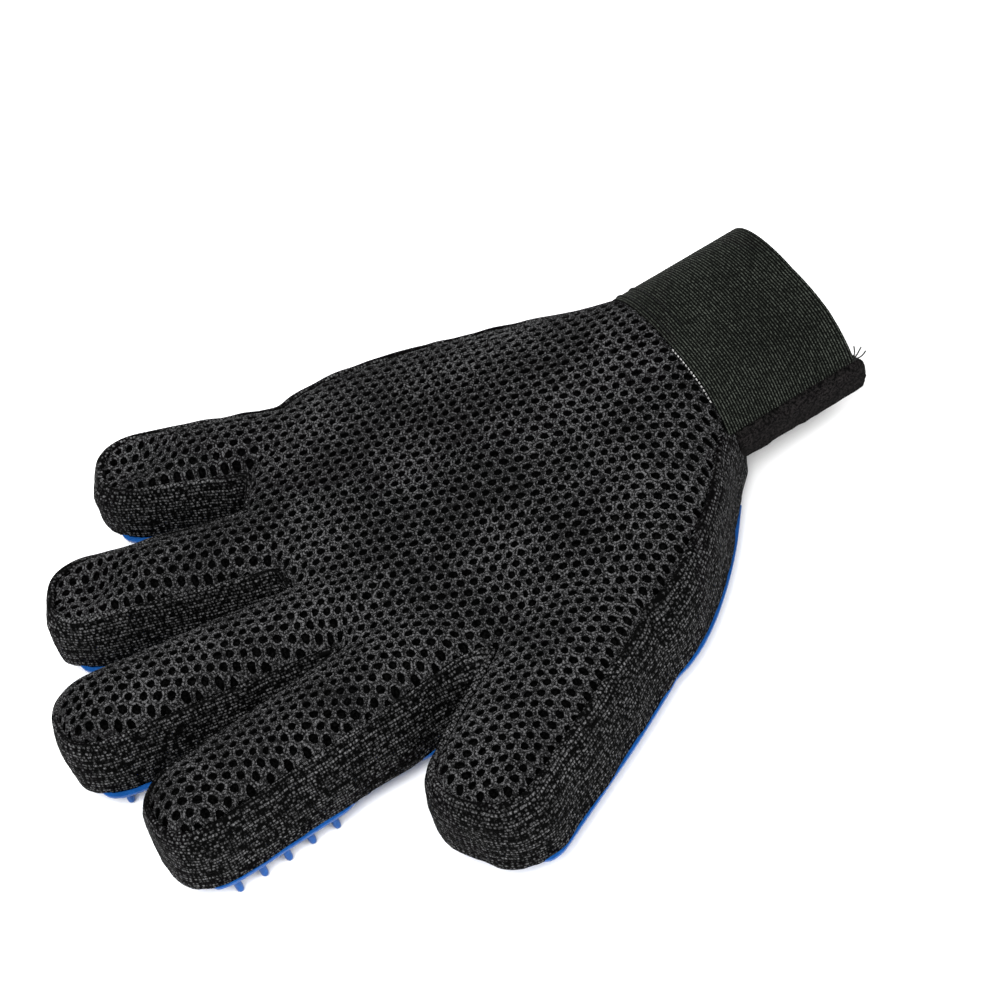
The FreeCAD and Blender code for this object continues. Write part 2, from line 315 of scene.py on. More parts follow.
# %% Palm blank
PALM_RINGS = [
    (11, -5.2, 21, -25, 33, 11.0),
    (20, -4.0, 22, -30, 35, 11.0),
    (28, -2.0, 22, -42, 40, 9.5),
    (42, -2.0, 21, -57, 48, 9.0),
    (60, -2.0, 21, -71, 57, 8.0),
    (78, -2.0, 20, -72, 64, 6.5),
    (95, -2.0, 20, -58, 68, 5.5),
    (110, -2.0, 20, -50, 66, 4.5),
    (124, -2.0, 20, -49, 50, 3.5),
    (134, -2.0, 20, -46, 36, 2.5),
]
palm_blank = blank("palm_blank", PALM_RINGS[0][0], PALM_RINGS[-1][0], PALM_RINGS, (-0.5, 0.0, 0.5))
object_mode()
use_modifier(palm_blank, "SUBSURF", levels=3, render_levels=3)
take(palm_blank)
palm_blank.location = hand
apply_transform()

# %% One smooth last
VOXEL = 1.1 * MM
take(palm_blank)
for piece in blanks:
    piece.select_set(True)
bpy.ops.object.join()
last = bpy.context.object
last.name = "last"
last.data.remesh_voxel_size = VOXEL
bpy.ops.object.voxel_remesh()
use_modifier(last, "SMOOTH", factor=0.5, iterations=6)
print("last:", len(last.data.polygons), "faces")

# %% [markdown]
# ## Which part of the glove belongs to which finger
# Every layer runs over the whole hand, but a finger has to bend. So each layer is split in eleven: the hand,
# and a root and an end for each finger. A line down each gap tells two neighbours apart, and a station past
# the gap tells finger from hand.
# %% Regions of the hand
ROOT_START = {"thumb": 2.0, "index": 4.0, "middle": 0.5, "ring": 0.5, "little": 0.5}
END_START = {"thumb": 11.0, "index": 17.0, "middle": 15.0, "ring": 15.0, "little": 11.0}
HALF_BEND = 7 * MM
GAP_LINES = []
for near, far in zip(FINGER_NAMES, FINGER_NAMES[1:]):
    a = fingers[near]
    b = fingers[far]
    side_a = a.at(a.half, 0)
    side_b = b.at(-b.half, 0)
    ahead_a = a.matrix.col[1].to_3d()
    ahead_b = b.matrix.col[1].to_3d()
    between = side_b - side_a
    spread = ahead_a.x * ahead_b.y - ahead_a.y * ahead_b.x
    reach = (between.x * ahead_b.y - between.y * ahead_b.x) / spread
    crotch = side_a + ahead_a * reach
    GAP_LINES.append((crotch, (ahead_a + ahead_b).normalized()))


def region_of(points):
    """0 for the hand, 1 and 2 for the thumb's root and end, 3 and 4 for the index finger's, and so on."""
    sides = [(points[:, 0] - p.x) * way.y - (points[:, 1] - p.y) * way.x for p, way in GAP_LINES]
    lane = sum((side > 0).astype(int) for side in sides)
    region = np.zeros(len(points), int)
    for number, name in enumerate(FINGER_NAMES):
        finger = fingers[name]
        ahead = finger.matrix.col[1]
        y = (points[:, 0] - finger.knuckle.x) * ahead.x + (points[:, 1] - finger.knuckle.y) * ahead.y
        here = (lane == number) & (y > ROOT_START[name] * MM)
        region[here] = 1 + 2 * number
        region[here & (y > END_START[name] * MM)] = 2 + 2 * number
    return region


def face_centres(piece):
    """The middles of all faces, as rows of x, y, z."""
    centres = np.empty(len(piece.data.polygons) * 3, np.float32)
    piece.data.polygons.foreach_get("center", centres)
    return centres.reshape(-1, 3)


def mark_faces(piece, mask):
    """Selects exactly the faces of the mask, and goes to edit mode."""
    take(piece)
    mesh = piece.data
    mesh.vertices.foreach_set("select", np.zeros(len(mesh.vertices), bool))
    mesh.edges.foreach_set("select", np.zeros(len(mesh.edges), bool))
    mesh.polygons.foreach_set("select", np.asarray(mask, bool))
    edit_mode()
    bpy.ops.mesh.select_mode(type="FACE")


def part_off(piece, mask, name):
    """Separates the faces of the mask into a new object."""
    mark_faces(piece, mask)
    bpy.ops.mesh.separate(type="SELECTED")
    object_mode()
    part = next(item for item in bpy.context.selected_objects if item is not piece)
    part.name = name
    return part


def wear(layer, kind):
    """Splits a layer over the hand and the fingers: a hand part, and a root and an end part for each finger.
    """
    parts = {}
    for number, name in enumerate(FINGER_NAMES):
        finger = fingers[name]
        for step, section in ((1, "root"), (2, "end")):
            mask = region_of(face_centres(layer)) == 2 * number + step
            part = part_off(layer, mask, name + "_" + section + "_" + kind)
            parts[part.name] = part
            if section == "root":
                start = ROOT_START[name] + 1.0
                end = END_START[name] - 1.0
                finger.at(0, start * MM)
                finger.at(0, end * MM)
                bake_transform(part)
            else:
                bend = finger.bend
                finger.at(0, bend - HALF_BEND)
                finger.at(0, bend + HALF_BEND)
                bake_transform(part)
    layer.name = "hand_" + kind
    parts["hand"] = layer
    faces = sum(len(part.data.polygons) for part in parts.values())
    print(kind, "has", faces, "faces in", len(parts), "parts")
    return parts


# %% [markdown]
# ## The seam
# A seam joins the air mesh to the knit strip all round. It lies in one gently sloping plane, highest at the
# wrist and lowest at the little fingertip, so one bisect cuts the last into a dome and a wall.
# %% Seam plane
SEAM_POINT = hand + Vector((-40 * MM, 110 * MM, 18.9 * MM))
SEAM_SLOPE_X = -0.028
SEAM_SLOPE_Y = -0.020
SEAM_UP = Vector((-SEAM_SLOPE_X, -SEAM_SLOPE_Y, 1)).normalized()


def above_seam(points):
    """How far each point is above the seam's plane."""
    return (points - np.array(SEAM_POINT)) @ np.array(SEAM_UP)


def keep_side(piece, plane_co, plane_no, fill=False):
    """Cuts a piece with a plane and deletes what is on the side that the normal points to."""
    edit_mesh(piece)
    select_whole_mesh()
    bpy.ops.mesh.bisect(plane_co=plane_co, plane_no=plane_no, clear_outer=True, use_fill=fill)
    object_mode()


def drop_faces(piece, mask):
    """Deletes the faces of the mask."""
    mark_faces(piece, mask)
    bpy.ops.mesh.delete(type="FACE")
    object_mode()


WRIST_END = hand + Vector((0, 12.5 * MM, 0))
hollow = copy_of(last, "hollow")
keep_side(hollow, WRIST_END, (0, -1, 0))
dome = copy_of(hollow, "dome")
keep_side(dome, SEAM_POINT, -SEAM_UP)
wall = copy_of(hollow, "wall")
keep_side(wall, SEAM_POINT, SEAM_UP)
keep_side(wall, hand + Vector((0, 0, -0.2 * MM)), (0, 0, -1))

# %% Groove along the seam
GROOVE_DEPTH = 1.5 * MM
GROOVE_WIDTH = 4.0 * MM
edit_mesh(dome)
pick(lambda place: above_seam(np.array([place]))[0] < 0.3 * MM)
push((0, 0, -GROOVE_DEPTH), GROOVE_WIDTH)
object_mode()

# %% Hollow fingertips
def press(piece, centre, depth, size):
    """Moves the surface under a point down, with a soft falloff."""
    edit_mesh(piece)
    nearest = 1.2 * MM
    found = pick(lambda place: (place.xy - centre.xy).length < nearest)
    if found:
        push((0, 0, -depth), size)
    object_mode()


for name, x, back, depth, size in (
        ("ring", 0.5, 9.0, 6.0, 12.0), ("ring", -1.0, 17.0, 3.0, 11.0), ("little", 0.5, 9.0, 6.0, 11.0),
        ("little", 0.0, 17.0, 2.5, 10.0), ("thumb", 0.0, 9.0, 1.5, 9.0), ("middle", 0.0, 7.0, 1.0, 8.0)):
    press(dome, fingers[name].at(x * MM, fingers[name].tip - back * MM), depth * MM, size * MM)

# %% [markdown]
# ## Air mesh
# Air mesh is two knitted layers held apart. The upper one is a net of round holes in a honeycomb, with a
# raised yarn round each hole. One cell is modelled by extruding a twelve-sided ring inwards, then arrays
# repeat it, and shrinkwrap lays the flat net on the dome, each level of the cell at its own height.
# %% One cell of the net
PITCH = 3.45 * MM
CELL_STEPS = (("join", 1.0, 0.0), ("yarn", 0.80, 0.30), ("rim", 0.63, 0.10), ("inside", 0.57, -0.8))
ROUNDING = (1.0, 0.96, 0.93, 0.93)
FLAT_SIDES = 0.93
# Colour levels of the cell's four rings, read by the yarn's finish: the raised yarn and the rim get a painted
# highlight, the lower join less, and the hole's wall painted shade.
THREAD_HIGHLIGHT_LEVELS = (0.56, 1.0, 0.78, 0.0)
NET_HEIGHT = hand.z + 80 * MM


def honeycomb_cell():
    """A ring of three bands: the join to the next cell, the raised yarn, the rim and the hole's wall."""
    nothing_selected()
    corner = PITCH / math.sqrt(3)
    bpy.ops.mesh.primitive_circle_add(vertices=12, radius=corner)
    cell = bpy.context.object
    edit_mode()
    pick(lambda place: round(math.degrees(math.atan2(place.y, place.x)) / 30) % 2 == 0)
    flat = math.sqrt(3) / 2
    bpy.ops.transform.resize(value=(flat, flat, 1), center_override=(0, 0, 0))
    select_whole_mesh()
    before = 1.0
    for _, share, _ in CELL_STEPS[1:]:
        bpy.ops.mesh.extrude_region_move()
        bpy.ops.transform.resize(value=(share / before, share / before, 1), center_override=(0, 0, 0))
        bpy.ops.transform.translate(value=(0, 0, 1 * MM))
        before = share
    for level, rounding in enumerate(ROUNDING):
        for odd, factor in ((1, rounding), (0, rounding / flat * FLAT_SIDES)):
            if level:
                pick(lambda place: round(place.z / MM) == level
                     and round(math.degrees(math.atan2(place.y, place.x)) / 30) % 2 == odd)
                bpy.ops.transform.resize(value=(factor, factor, 1), center_override=(0, 0, 0))
    object_mode()
    for level, (group, _, _) in enumerate(CELL_STEPS):
        rows = [vertex.index for vertex in cell.data.vertices if round(vertex.co.z / MM) == level]
        cell.vertex_groups.new(name=group).add(rows, 1.0, "REPLACE")
    # Each ring's level of painted highlight and shade, kept for the yarn's colour.
    yarn = cell.data.attributes.new("thread_highlight", "FLOAT", "POINT")
    for vertex in cell.data.vertices:
        yarn.data[vertex.index].value = THREAD_HIGHLIGHT_LEVELS[round(vertex.co.z / MM)]
    return cell


net = honeycomb_cell()
net.name = "net"

# %% The net laid on the dome
low_corner, high_corner = cad_box
columns = int((high_corner[0] - low_corner[0]) / PITCH) + 3
rows = int((high_corner[1] - low_corner[1]) / (PITCH * math.sqrt(3))) + 3
twin = copy_of(net, "net_twin")
twin.location = (PITCH / 2, PITCH * math.sqrt(3) / 2, 0)
take(net)
twin.select_set(True)
bpy.ops.object.join()
for count, step in ((columns, (PITCH, 0, 0)), (rows, (0, PITCH * math.sqrt(3), 0))):
    use_modifier(net, "ARRAY", count=count, use_relative_offset=False, use_constant_offset=True,
                 constant_offset_displace=step)
edit_mesh(net)
select_whole_mesh()
bpy.ops.mesh.remove_doubles(threshold=0.02 * MM)
bpy.ops.mesh.normals_make_consistent(inside=False)
object_mode()
net.location = (low_corner[0] - PITCH, low_corner[1] - PITCH, NET_HEIGHT)
take(net)
apply_transform()
drift = bpy.data.textures.new("net_drift", "CLOUDS")
drift.noise_scale = 0.045
use_modifier(net, "DISPLACE", texture=drift, direction="RGB_TO_XYZ", strength=0.006, mid_level=0.5)
uneven = bpy.data.textures.new("net_uneven", "CLOUDS")
uneven.noise_scale = 0.0022
use_modifier(net, "DISPLACE", texture=uneven, direction="RGB_TO_XYZ", strength=0.0009, mid_level=0.5)
for group, _, height in CELL_STEPS:
    use_modifier(net, "SHRINKWRAP", target=dome, wrap_method="PROJECT", use_project_z=True,
                 use_positive_direction=False, use_negative_direction=True, wrap_mode="ABOVE_SURFACE",
                 offset=height * MM, vertex_group=group)
heights = np.empty(len(net.data.vertices) * 3, np.float32)
net.data.vertices.foreach_get("co", heights)
missed = heights[2::3] > NET_HEIGHT - 20 * MM
corners = np.empty(len(net.data.loops), np.int32)
net.data.loops.foreach_get("vertex_index", corners)
drop_faces(net, missed[corners].reshape(-1, 4).any(axis=1))
print("net:", len(net.data.polygons), "faces")

# %% [markdown]
# ## Finishes
# Fabric is never one flat colour: its yarns catch light and the gaps between them stay dark, and the knit
# finishes paint that in, as a painted highlight on raised yarns and painted shade in the gaps. Two effects
# are used by several fabrics, so each is a node group: loose fibres, and rows of short stitches. Both read
# the object's own coordinates in metres, so the pattern has the same size everywhere.
# %% Node helpers
def add_node(tree, kind, **inputs):
    """Adds a node. A socket is linked to the input, any other value is set. i0, i1 are inputs by number."""
    node = tree.nodes.new(kind)
    for key, value in inputs.items():
        if key in ("operation", "blend_type", "data_type", "attribute_name", "feature", "voronoi_dimensions",
                   "noise_dimensions", "normalize", "bands_direction", "wave_type", "use_clamp"):
            setattr(node, key, value)
            continue
        socket = node.inputs[int(key[1:])] if key[1:].isdigit() else node.inputs[key.replace("_", " ")]
        if isinstance(value, bpy.types.NodeSocket):
            tree.links.new(value, socket)
        else:
            socket.default_value = value
    return node


def math_node(tree, operation, a, b=0.0, c=0.0):
    """A math node's result."""
    return add_node(tree, "ShaderNodeMath", operation=operation, i0=a, i1=b, i2=c).outputs[0]


def ramp_between(tree, value, low, high, out_low=0.0, out_high=1.0):
    """The value, mapped smoothly and clamped."""
    node = add_node(tree, "ShaderNodeMapRange", Value=value, From_Min=low, From_Max=high, To_Min=out_low,
                    To_Max=out_high)
    node.interpolation_type = "SMOOTHSTEP"
    return node.outputs[0]


def effect_group(name, inputs, outputs):
    """An empty node group with named number inputs and outputs."""
    group = bpy.data.node_groups.new(name, "ShaderNodeTree")
    for label, value in inputs:
        group.interface.new_socket(label, in_out="INPUT", socket_type="NodeSocketFloat").default_value = value
    for label in outputs:
        group.interface.new_socket(label, in_out="OUTPUT", socket_type="NodeSocketFloat")
    return group, group.nodes.new("NodeGroupInput"), group.nodes.new("NodeGroupOutput")


ROW_SHIFT = 7.3


def fibre_group():
    """Loose fibres: Tone changes slowly and quickly from place to place, Height is the fine fuzz."""
    group, given, result = effect_group(
        "loose_fibres", (("Size mm", 0.4), ("Patch mm", 12.0)), ("Tone", "Height"))
    place = add_node(group, "ShaderNodeTexCoord").outputs["Object"]
    fine_scale = math_node(group, "DIVIDE", 1000.0, given.outputs["Size mm"])
    patch_scale = math_node(group, "DIVIDE", 1000.0, given.outputs["Patch mm"])
    fine = add_node(group, "ShaderNodeTexNoise", Vector=place, Scale=fine_scale, Detail=2.0, Roughness=0.7)
    patch = add_node(group, "ShaderNodeTexNoise", Vector=place, Scale=patch_scale, Detail=2.0)
    sharp = ramp_between(group, fine.outputs[0], 0.38, 0.66)
    broad = ramp_between(group, patch.outputs[0], 0.3, 0.7, 0.65, 1.0)
    group.links.new(math_node(group, "MULTIPLY", sharp, broad), result.inputs["Tone"])
    group.links.new(fine.outputs[0], result.inputs["Height"])
    return group


def stitch_group():
    """Rows of short stitches that run level round the glove. Its first output is a painted highlight on each
    stitch, with painted shade between stitches and rows.
    """
    group, given, result = effect_group(
        "stitch_rows", (("Row mm", 1.1), ("Stitch mm", 0.9)), ("Mask", "Height"))
    place = add_node(group, "ShaderNodeTexCoord").outputs["Object"]
    axes = add_node(group, "ShaderNodeSeparateXYZ", Vector=place).outputs
    level = math_node(group, "MULTIPLY", axes["Z"], 1000.0)
    rows = math_node(group, "DIVIDE", level, given.outputs["Row mm"])
    row = math_node(group, "FLOOR", rows)
    within = math_node(group, "ABSOLUTE", math_node(group, "SUBTRACT", math_node(group, "FRACT", rows), 0.5))
    profile = ramp_between(group, within, 0.5, 0.15)
    along = math_node(group, "DIVIDE", 1000.0, given.outputs["Stitch mm"])
    spot = add_node(group, "ShaderNodeCombineXYZ", X=math_node(group, "MULTIPLY", axes["X"], along),
                    Y=math_node(group, "MULTIPLY", axes["Y"], along),
                    Z=math_node(group, "MULTIPLY", row, ROW_SHIFT))
    cell = add_node(group, "ShaderNodeTexVoronoi", Vector=spot.outputs[0], Scale=1.0, Randomness=0.55)
    stitch = ramp_between(group, cell.outputs["Distance"], 0.62, 0.2)
    # Painted highlight on each stitch, fading to painted shade between stitches and rows.
    mask = math_node(group, "MULTIPLY", stitch, profile)
    group.links.new(mask, result.inputs["Mask"])
    group.links.new(math_node(group, "ADD", math_node(group, "MULTIPLY", mask, 0.7), profile),
                    result.inputs["Height"])
    return group


FIBRES = fibre_group()
STITCHES = stitch_group()


def place_group(tree, group, **values):
    """Places an effect group in a material."""
    node = tree.nodes.new("ShaderNodeGroup")
    node.node_tree = group
    for label, value in values.items():
        node.inputs[label.replace("_", " ")].default_value = value
    return node


def finish(name, roughness, sheen=0.0, sheen_roughness=0.5, coat=0.0, coat_roughness=0.2, specular=0.5):
    """A new material with its shader's constants set. Returns the material, its tree and its shader."""
    material = bpy.data.materials.new(name)
    material.use_nodes = True
    tree = material.node_tree
    shader = tree.nodes["Principled BSDF"]
    for label, value in (("Roughness", roughness), ("Sheen Weight", sheen),
                         ("Sheen Roughness", sheen_roughness), ("Coat Weight", coat),
                         ("Coat Roughness", coat_roughness), ("Specular IOR Level", specular)):
        shader.inputs[label].default_value = value
    return material, tree, shader


def colour(tree, shader, mask, dark, light):
    """Base colour between two colours, by a mask."""
    mix = add_node(tree, "ShaderNodeMix", data_type="RGBA", Factor=mask)
    mix.inputs[6].default_value = (*dark, 1)
    mix.inputs[7].default_value = (*light, 1)
    tree.links.new(mix.outputs[2], shader.inputs["Base Color"])


def relief(tree, shader, height, distance):
    """Bump of a real depth in metres."""
    bump = add_node(tree, "ShaderNodeBump", Height=height, Distance=distance, Strength=1.0)
    tree.links.new(bump.outputs[0], shader.inputs["Normal"])


def fibrous(name, roughness, size, patch, dark, light, depth, **settings):
    """A finish whose colour and relief both come from loose fibres."""
    material, tree, shader = finish(name, roughness, **settings)
    fibres = place_group(tree, FIBRES, Size_mm=size, Patch_mm=patch)
    colour(tree, shader, fibres.outputs["Tone"], dark, light)
    relief(tree, shader, fibres.outputs["Height"], depth)
    return material


# %% Finishes of the glove's own pieces
def mesh_yarn():
    material, tree, shader = finish("air_mesh_yarn", 0.7, specular=0.012)
    fibres = place_group(tree, FIBRES, Size_mm=0.55, Patch_mm=25.0)
    level = add_node(tree, "ShaderNodeAttribute", attribute_name="thread_highlight").outputs["Fac"]
    place = add_node(tree, "ShaderNodeTexCoord").outputs["Object"]
    twist = add_node(tree, "ShaderNodeTexNoise", Vector=place, Scale=1900.0, Detail=1.0)
    # Painted highlight on the raised yarn and rim, painted shade on the lower joins and in the holes; the
    # loose fibres vary it at random.
    raised = ramp_between(tree, level, 0.40, 1.0)
    tone = ramp_between(tree, fibres.outputs["Tone"], 0.2, 0.9, 0.05, 1.0)
    mask = math_node(tree, "MULTIPLY", raised, tone)
    colour(tree, shader, mask, (0.0006, 0.0006, 0.0006), (0.080, 0.080, 0.082))
    relief(tree, shader, twist.outputs[0], 0.00025)
    return material


def strip_knit():
    material, tree, shader = finish("rib_knit", 0.7, specular=0.012)
    stitches = place_group(tree, STITCHES, Row_mm=0.95, Stitch_mm=0.85)
    fibres = place_group(tree, FIBRES, Size_mm=0.45, Patch_mm=9.0)
    # Painted highlight on each stitch and painted shade between stitches and rows, varied at random by the
    # loose fibres.
    mask = math_node(tree, "MULTIPLY", stitches.outputs["Mask"],
                     ramp_between(tree, fibres.outputs["Tone"], 0.0, 0.8, 0.15, 1.0))
    colour(tree, shader, mask, (0.0006, 0.0006, 0.0006), (0.105, 0.105, 0.107))
    relief(tree, shader, stitches.outputs["Height"], 0.00016)
    return material


def palm_cloth():
    material, tree, shader = finish("palm_fabric", 0.8, specular=0.03)
    stitches = place_group(tree, STITCHES, Row_mm=0.7, Stitch_mm=0.7)
    fibres = place_group(tree, FIBRES, Size_mm=0.5, Patch_mm=15.0)
    colour(tree, shader, fibres.outputs["Tone"], (0.0012, 0.0012, 0.0013), (0.015, 0.015, 0.016))
    relief(tree, shader, stitches.outputs["Height"], 0.0001)
    return material


def blue_rubber():
    material, tree, shader = finish("blue_rubber", 0.40, coat=0.04, coat_roughness=0.3, specular=0.22)
    grain = place_group(tree, FIBRES, Size_mm=0.9, Patch_mm=30.0)
    colour(tree, shader, grain.outputs["Tone"], (0.005, 0.052, 0.20), (0.008, 0.070, 0.26))
    rough = ramp_between(tree, grain.outputs["Tone"], 0.0, 1.0, 0.32, 0.42)
    tree.links.new(rough, shader.inputs["Roughness"])
    relief(tree, shader, grain.outputs["Height"], 0.00004)
    return material


def elastic_yarn():
    material, tree, shader = finish("elastic_webbing", 0.7, specular=0.012)
    fibres = place_group(tree, FIBRES, Size_mm=0.5, Patch_mm=18.0)
    level = add_node(tree, "ShaderNodeAttribute", attribute_name="thread_highlight").outputs["Fac"]
    # Painted highlight on the ribs and painted shade in the gaps between them, varied at random by the loose
    # fibres.
    mask = math_node(tree, "MULTIPLY", ramp_between(tree, level, 0.25, 1.0, 0.0, 1.0),
                     ramp_between(tree, fibres.outputs["Tone"], 0.1, 0.9, 0.15, 1.0))
    colour(tree, shader, mask, (0.0006, 0.0007, 0.0006), (0.048, 0.054, 0.045))
    relief(tree, shader, fibres.outputs["Height"], 0.00015)
    return material


YARN = mesh_yarn()
BACKING = fibrous("air_mesh_backing", 0.9, 0.8, 20.0, (0.0003, 0.0003, 0.0003), (0.0025, 0.0025, 0.0025),
                  0.0003, specular=0.0)
KNIT = strip_knit()
PALM_CLOTH = palm_cloth()
RUBBER = blue_rubber()
ELASTIC = elastic_yarn()
FELT = fibrous("loop_felt", 0.95, 0.7, 4.0, (0.0012, 0.0012, 0.0012), (0.014, 0.0125, 0.0125),
               0.0008, sheen=0.01, sheen_roughness=0.6, specular=0.0)
HOOKS = fibrous("hook_tape", 0.45, 0.8, 6.0, (0.006, 0.006, 0.006), (0.04, 0.04, 0.042),
                0.0002, specular=0.4)
THREAD = fibrous("sewing_thread", 0.7, 0.3, 10.0, (0.0015, 0.0018, 0.0015), (0.013, 0.015, 0.013),
                 0.0001, specular=0.08)
print("materials:", len(bpy.data.materials))


def give(piece, material):
    """Gives a piece one material and smooth shading."""
    piece.data.materials.clear()
    piece.data.materials.append(material)
    take(piece)
    bpy.ops.object.shade_smooth()


def swell(piece, distance):
    """Moves the whole surface out along its normals."""
    edit_mesh(piece)
    select_whole_mesh()
    bpy.ops.transform.shrink_fatten(value=distance, use_even_offset=True)
    object_mode()


def join(piece, others):
    """Joins other objects into a piece."""
    take(piece)
    for other in others:
        other.select_set(True)
    bpy.ops.object.join()


# %% The back panel: net and backing
backing = copy_of(dome, "backing")
swell(backing, -1.0 * MM)
give(backing, BACKING)
give(net, YARN)
join(net, [backing])
back_parts = wear(net, "air_mesh")

# %% [markdown]
# ## Side strip
# One strip of thick rib knit runs round the hand and every finger. It is the wall of the last with a
# thickness, and its upper edge is rolled over, so a round bead is laid along the seam.
# %% Strip and its rolled edge
STRIP_THICK = 1.9 * MM
BEAD = 1.15 * MM
puckers = bpy.data.textures.new("strip_puckers", "CLOUDS")
puckers.noise_scale = 0.010
use_modifier(wall, "DISPLACE", texture=puckers, texture_coords="GLOBAL", strength=0.0016, mid_level=0.5)
edit_mesh(wall)
bpy.ops.mesh.select_mode(type="EDGE")
bpy.ops.mesh.select_all(action="DESELECT")
wall_mesh = bmesh.from_edit_mesh(wall.data)
for edge in wall_mesh.edges:
    points = np.array([vertex.co for vertex in edge.verts])
    at_seam = above_seam(points).min() > -1.6 * MM
    if edge.is_boundary and at_seam and points[:, 1].min() > WRIST_END.y + 1 * MM:
        edge.select_set(True)
bmesh.update_edit_mesh(wall.data)
bpy.ops.mesh.duplicate()
bpy.ops.mesh.separate(type="SELECTED")
object_mode()
bead = next(item for item in bpy.context.selected_objects if item is not wall)
bead.name = "rolled_edge"
use_modifier(bead, "SMOOTH", factor=0.5, iterations=8)
take(bead)
bpy.ops.object.convert(target="CURVE")
bead.data.bevel_depth = BEAD
bead.data.bevel_resolution = 2
bpy.ops.object.convert(target="MESH")
bead = bpy.context.object
use_modifier(wall, "SOLIDIFY", thickness=STRIP_THICK, offset=0.0)
give(wall, KNIT)
give(bead, KNIT)
join(wall, [bead])
strip_parts = wear(wall, "side_strip")

# %% [markdown]
# ## Palm
# The palm's fabric closes the glove underneath, and the rubber sheet is moulded to it. Round pins stand in
# staggered rows, where the CAD pads have theirs, and a row along each side of four fingers leans outwards.
# %% Palm fabric
lining = copy_of(hollow, "lining")
keep_side(lining, hand + Vector((0, 0, 1.0 * MM)), (0, 0, 1))
swell(lining, -1.9 * MM)
use_modifier(lining, "SOLIDIFY", thickness=0.7 * MM, offset=-1.0)
give(lining, PALM_CLOTH)
lining_parts = wear(lining, "palm_fabric")

# %% Rubber sheet
SHEET_THICK = 2.0
FATTEN = 1.5
TAKEN_UP_TO = 2.6
TIP_SHORT = 3.2 * MM
TIP_REACH = 9 * MM
RIM_REACH = 10 * MM
NEAR_RIMS = (("index", 4, 52, 2.4), ("middle", 14, 10, -1.4), ("ring", 14, 10, -1.4),
             ("little", 10, 10, -1.2))
sheet = copy_of(last, "rubber_sheet")
swell(sheet, FATTEN * MM)
keep_side(sheet, hand + Vector((0, 0, TAKEN_UP_TO * MM)), (0, 0, 1))
keep_side(sheet, hand + Vector((0, 21 * MM, 0)), (0, -1, 0))
edit_mesh(sheet)
select_whole_mesh()
bpy.ops.transform.translate(value=(0, 0, -TAKEN_UP_TO * MM))
for finger in fingers.values():
    pick(lambda place: (finger.inverse @ place).y > finger.tip + 0.5 * MM
         and abs((finger.inverse @ place).x) < finger.half + 4 * MM)
    push(finger.matrix.col[1].to_3d() * -TIP_SHORT, TIP_REACH)
for name, start, short_of_tip, inwards in NEAR_RIMS:
    finger = fingers[name]
    pick(lambda place: -finger.half - 6 * MM < (finger.inverse @ place).x < -finger.half + 5 * MM
         and start * MM < (finger.inverse @ place).y < finger.tip - short_of_tip * MM)
    push(finger.matrix.col[0].to_3d() * inwards * MM, RIM_REACH)
select_whole_mesh()
squeeze = SHEET_THICK / (SHEET_THICK + FATTEN + TAKEN_UP_TO)
bpy.ops.transform.resize(value=(1, 1, squeeze), center_override=hand)
object_mode()
use_modifier(sheet, "SOLIDIFY", thickness=1.2 * MM, offset=-1.0)

# %% Pins
PIN_STEPS = ((1.75, -1.5), (1.3, -2.1), (1.12, -2.7), (1.05, -5.6), (0.92, -6.25), (0.62, -6.62),
             (0.2, -6.79))


def rubber_pin():
    """One pin at the hand's origin: a flared foot, a slightly tapered shaft and a round end."""
    nothing_selected()
    radius, top = PIN_STEPS[0]
    bpy.ops.mesh.primitive_circle_add(vertices=10, radius=radius * MM, location=(0, 0, top * MM))
    pin = bpy.context.object
    apply_transform()
    edit_mode()
    bpy.ops.mesh.select_mode(type="VERT")
    select_whole_mesh()
    for wide, low in PIN_STEPS[1:]:
        bpy.ops.mesh.extrude_region_move()
        bpy.ops.transform.translate(value=(0, 0, (low - top) * MM))
        bpy.ops.transform.resize(value=(wide / radius, wide / radius, 1), center_override=(0, 0, 0))
        radius, top = wide, low
    bpy.ops.mesh.edge_face_add()
    select_whole_mesh()
    bpy.ops.mesh.normals_make_consistent(inside=False)
    object_mode()
    return pin


def pin_feet():
    """The middles of the CAD pins, found from the vertices round each pin's lowest point."""
    low = sorted((vertex.co.x, vertex.co.y) for name, node in frame["nodes"].items() if name.endswith("_pad")
                 for vertex in node.data.vertices if vertex.co.z < 0.02 * MM)
    groups = []
    for place in (Vector(point) for point in low):
        near = next((group for group in reversed(groups) if (group[0] - place).length < 1.5 * MM), None)
        if near:
            near.append(place)
        else:
            groups.append([place])
    return [((min(p.x for p in group) + max(p.x for p in group)) / 2,
             (min(p.y for p in group) + max(p.y for p in group)) / 2) for group in groups]


EDGE_LEAN = math.radians(26)
EDGE_INSET = 3.5 * MM
EDGE_STEP = 7.4 * MM
EDGE_STRIP = 5.0 * MM
EDGE_SINK = 1.6 * MM


def edge_feet(finger):
    """Feet of the pins just inside the rim on both sides of a finger, each with the way that it leans."""
    places = np.array([finger.inverse @ vertex.co for vertex in sheet.data.vertices])
    outwards = finger.matrix.col[0].to_3d()
    feet = []
    for y in np.arange(finger.tip - 10 * MM, finger.tip - 44 * MM, -EDGE_STEP):
        slice_x = places[np.abs(places[:, 1] - y) < 0.8 * MM, 0]
        slice_x = slice_x[np.abs(slice_x) < finger.half + 4 * MM]
        for side in (-1, 1):
            reach = (side * slice_x).max() - EDGE_INSET
            spot = finger.matrix @ Vector((side * reach, y, 0))
            feet.append((Vector((spot.x, spot.y, hand.z)), outwards * side))
    return feet


